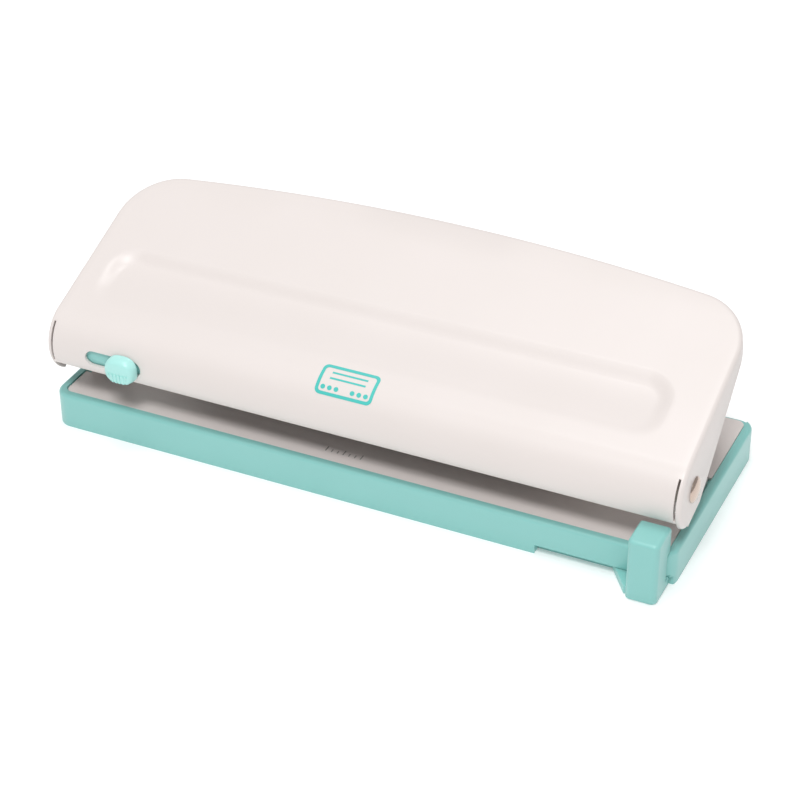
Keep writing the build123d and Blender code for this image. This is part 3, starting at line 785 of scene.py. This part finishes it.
def buildKnob():
    low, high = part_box("lock_knob")
    middleX, middleZ = (low[0] + high[0]) / 2 / mm, (low[2] + high[2]) / 2 / mm
    halfX, halfZ = (high[0] - low[0]) / 2 / mm, (high[2] - low[2]) / 2 / mm
    front, back = low[1] / mm, high[1] / mm

    def rollSurface(z, gap):
        return pivot.x - math.sqrt((handle["roll"] + gap) ** 2 - (z - pivot.y) ** 2)
    shape = bmesh.new()
    rings = []
    for scale, rise in knob["rows"]:
        ring = []
        for k in range(knob["count"]):
            turn = 2 * math.pi * k / knob["count"]
            c, s = math.cos(turn), math.sin(turn)
            x = middleX + scale * halfX * math.copysign(abs(c) ** (2 / knob["square"]), c)
            z = middleZ + scale * halfZ * math.copysign(abs(s) ** (2 / knob["square"]), s)
            seat = rollSurface(z, knob["gap"])
            ring.append(shape.verts.new(Vector((x, seat + (front - seat) * rise, z)) * mm))
        rings.append(ring)
    for lower, upper in zip(rings, rings[1:]):
        joinRings(shape, lower, upper)
    shape.faces.new(rings[-1])
    shape.faces.new(list(reversed(rings[0])))
    stem = []
    outline = stadium(middleX, pivot.y, knob["stem"], knob["stemHeight"])
    for y in (rollSurface(pivot.y, knob["gap"]) - 0.2, back):
        stem.append([shape.verts.new(Vector((x, y, z)) * mm) for x, z in outline])
    joinRings(shape, *stem)
    shape.faces.new(stem[0])
    shape.faces.new(list(reversed(stem[1])))
    bmesh.ops.recalc_face_normals(shape, faces=shape.faces)
    pad = meshOf(shape, "knobPad")
    first = middleX - knob["ribPitch"] * (knob["ribs"] - 1) / 2
    points = [Vector((first + knob["ribPitch"] * k, low[2] / mm + knob["ribRise"], 0)) * mm
              for k in range(knob["ribs"])]
    ribs = grown("knobRibs", points, barTree, {
        "Width": knob["ribWidth"] * mm, "Length": knob["ribLength"] * mm, "Height": knob["ribHeight"] * mm},
        materials["mint_plastic"])

    def onPad(spot):
        across, rise = (spot.x / mm - middleX) / halfX, (spot.y / mm - middleZ) / halfZ
        off = (abs(across) ** knob["square"] + abs(rise) ** knob["square"]) ** (1 / knob["square"])
        seat = rollSurface(spot.y / mm, knob["gap"])
        rows = knob["rows"]
        share = 0
        for (outer, lower), (inner, upper) in zip(rows, rows[1:]):
            if inner <= off < outer:
                share = lower + (upper - lower) * (outer - off) / (outer - inner)
        if off < rows[-1][0]:
            share = 1
        return Vector((spot.x, (seat + (front - seat) * share) * mm - spot.z, spot.y))
    reshaped(ribs, onPad)
    ribs.flip_normals()
    return merged([pad, ribs], "lockKnob")


# the knob is painted in the lighter copy of the mint plastic, a painted highlight
addPiece("lockKnob", buildKnob(), "lock", "mint_plastic", ("lock_knob",), paint="mint_knob_lit")
print("lock knob ready")

# printed marks: a page with six holes on the roll, and a centring scale on the base plate
pageMark = {
    "centreX": -3, "angle": 119, "width": 24, "height": 13, "corner": 2.2, "line": 1.3,
    "lift": 0.02, "film": 0.06, "longest": 2, "cuts": 6,
    "dots": (-9, -6.2, -3.4, 3.4, 6.2, 9), "dotRadius": 0.95, "dotDrop": 3.4,
    "lines": (0.6, 3.2), "lineLength": 15, "lineShare": 0.6, "innerShare": 0.7,
}
plateMark = {"centreX": -6, "y": -38.5, "pitch": 2.5, "ticks": 7, "longEvery": 3, "width": 0.45,
             "long": 3.0, "short": 1.8, "lift": 0.01, "film": 0.05}


def roundedFrame(width, height, corner, count=8):
    path = []
    for k, (sideX, sideY) in enumerate(((1, 1), (-1, 1), (-1, -1), (1, -1))):
        for step in range(count + 1):
            turn = math.pi / 2 * (k + step / count)
            path.append(((width / 2 - corner) * sideX + corner * math.cos(turn),
                         (height / 2 - corner) * sideY + corner * math.sin(turn)))
    return path


def buildPageMark():
    centreV = rollV(pageMark["angle"])
    film, line = pageMark["film"], pageMark["line"]
    width, height, corner = pageMark["width"], pageMark["height"], pageMark["corner"]
    outer = roundedFrame(width, height, corner)
    inner = roundedFrame(width - 2 * line, height - 2 * line, corner - line * pageMark["innerShare"])
    places, faces = triangulate([outer, inner], [])
    shape = bmesh.new()
    corners = [shape.verts.new((p.x, p.y, film)) for p in places]
    for face in faces:
        shape.faces.new([corners[i] for i in face])
    longEdges = [edge for edge in shape.edges if edge.calc_length() > pageMark["longest"]]
    bmesh.ops.subdivide_edges(shape, edges=longEdges, cuts=pageMark["cuts"])
    bmesh.ops.triangulate(shape, faces=shape.faces)
    border = meshOf(shape, "pageBorder")
    dots = [Vector((x, -pageMark["dotDrop"], film / 2)) for x in pageMark["dots"]]
    dotMesh = grown("pageDots", dots, discTree, {"Radius": pageMark["dotRadius"], "Depth": film},
                    materials["mint_print"])
    rules = [Vector((0, rise, film / 2)) for rise in pageMark["lines"]]
    ruleMesh = grown("pageRules", rules, barTree, {
        "Width": pageMark["lineLength"], "Length": line * pageMark["lineShare"], "Height": film},
        materials["mint_print"])
    whole = merged([border, dotMesh, ruleMesh], "pageMark")
    return reshaped(whole, lambda p: wrap(pageMark["centreX"] + p.x, centreV + p.y, pageMark["lift"] + p.z))


def buildPlateMark():
    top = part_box("paper_stop")[0][2] / mm
    points = {True: [], False: []}
    for k in range(plateMark["ticks"]):
        x = plateMark["centreX"] + plateMark["pitch"] * (k - (plateMark["ticks"] - 1) / 2)
        isLong = k % plateMark["longEvery"] == 0
        y = plateMark["y"] + (plateMark["long"] - plateMark["short"]) / 2 * (0 if isLong else -1)
        points[isLong].append(Vector((x, y, top + plateMark["lift"] + plateMark["film"] / 2)) * mm)
    ticks = [grown("plateTicks", points[isLong], barTree, {
        "Width": plateMark["width"] * mm, "Length": plateMark["long" if isLong else "short"] * mm,
        "Height": plateMark["film"] * mm}, materials["grey_print"]) for isLong in (True, False)]
    return merged(ticks, "plateMark")


addPiece("pageMark", buildPageMark(), "handle", "mint_plastic", paint="mint_print")
addPiece("plateMark", buildPlateMark(), "base", "zinc_steel", paint="grey_print")
print("printed marks ready")
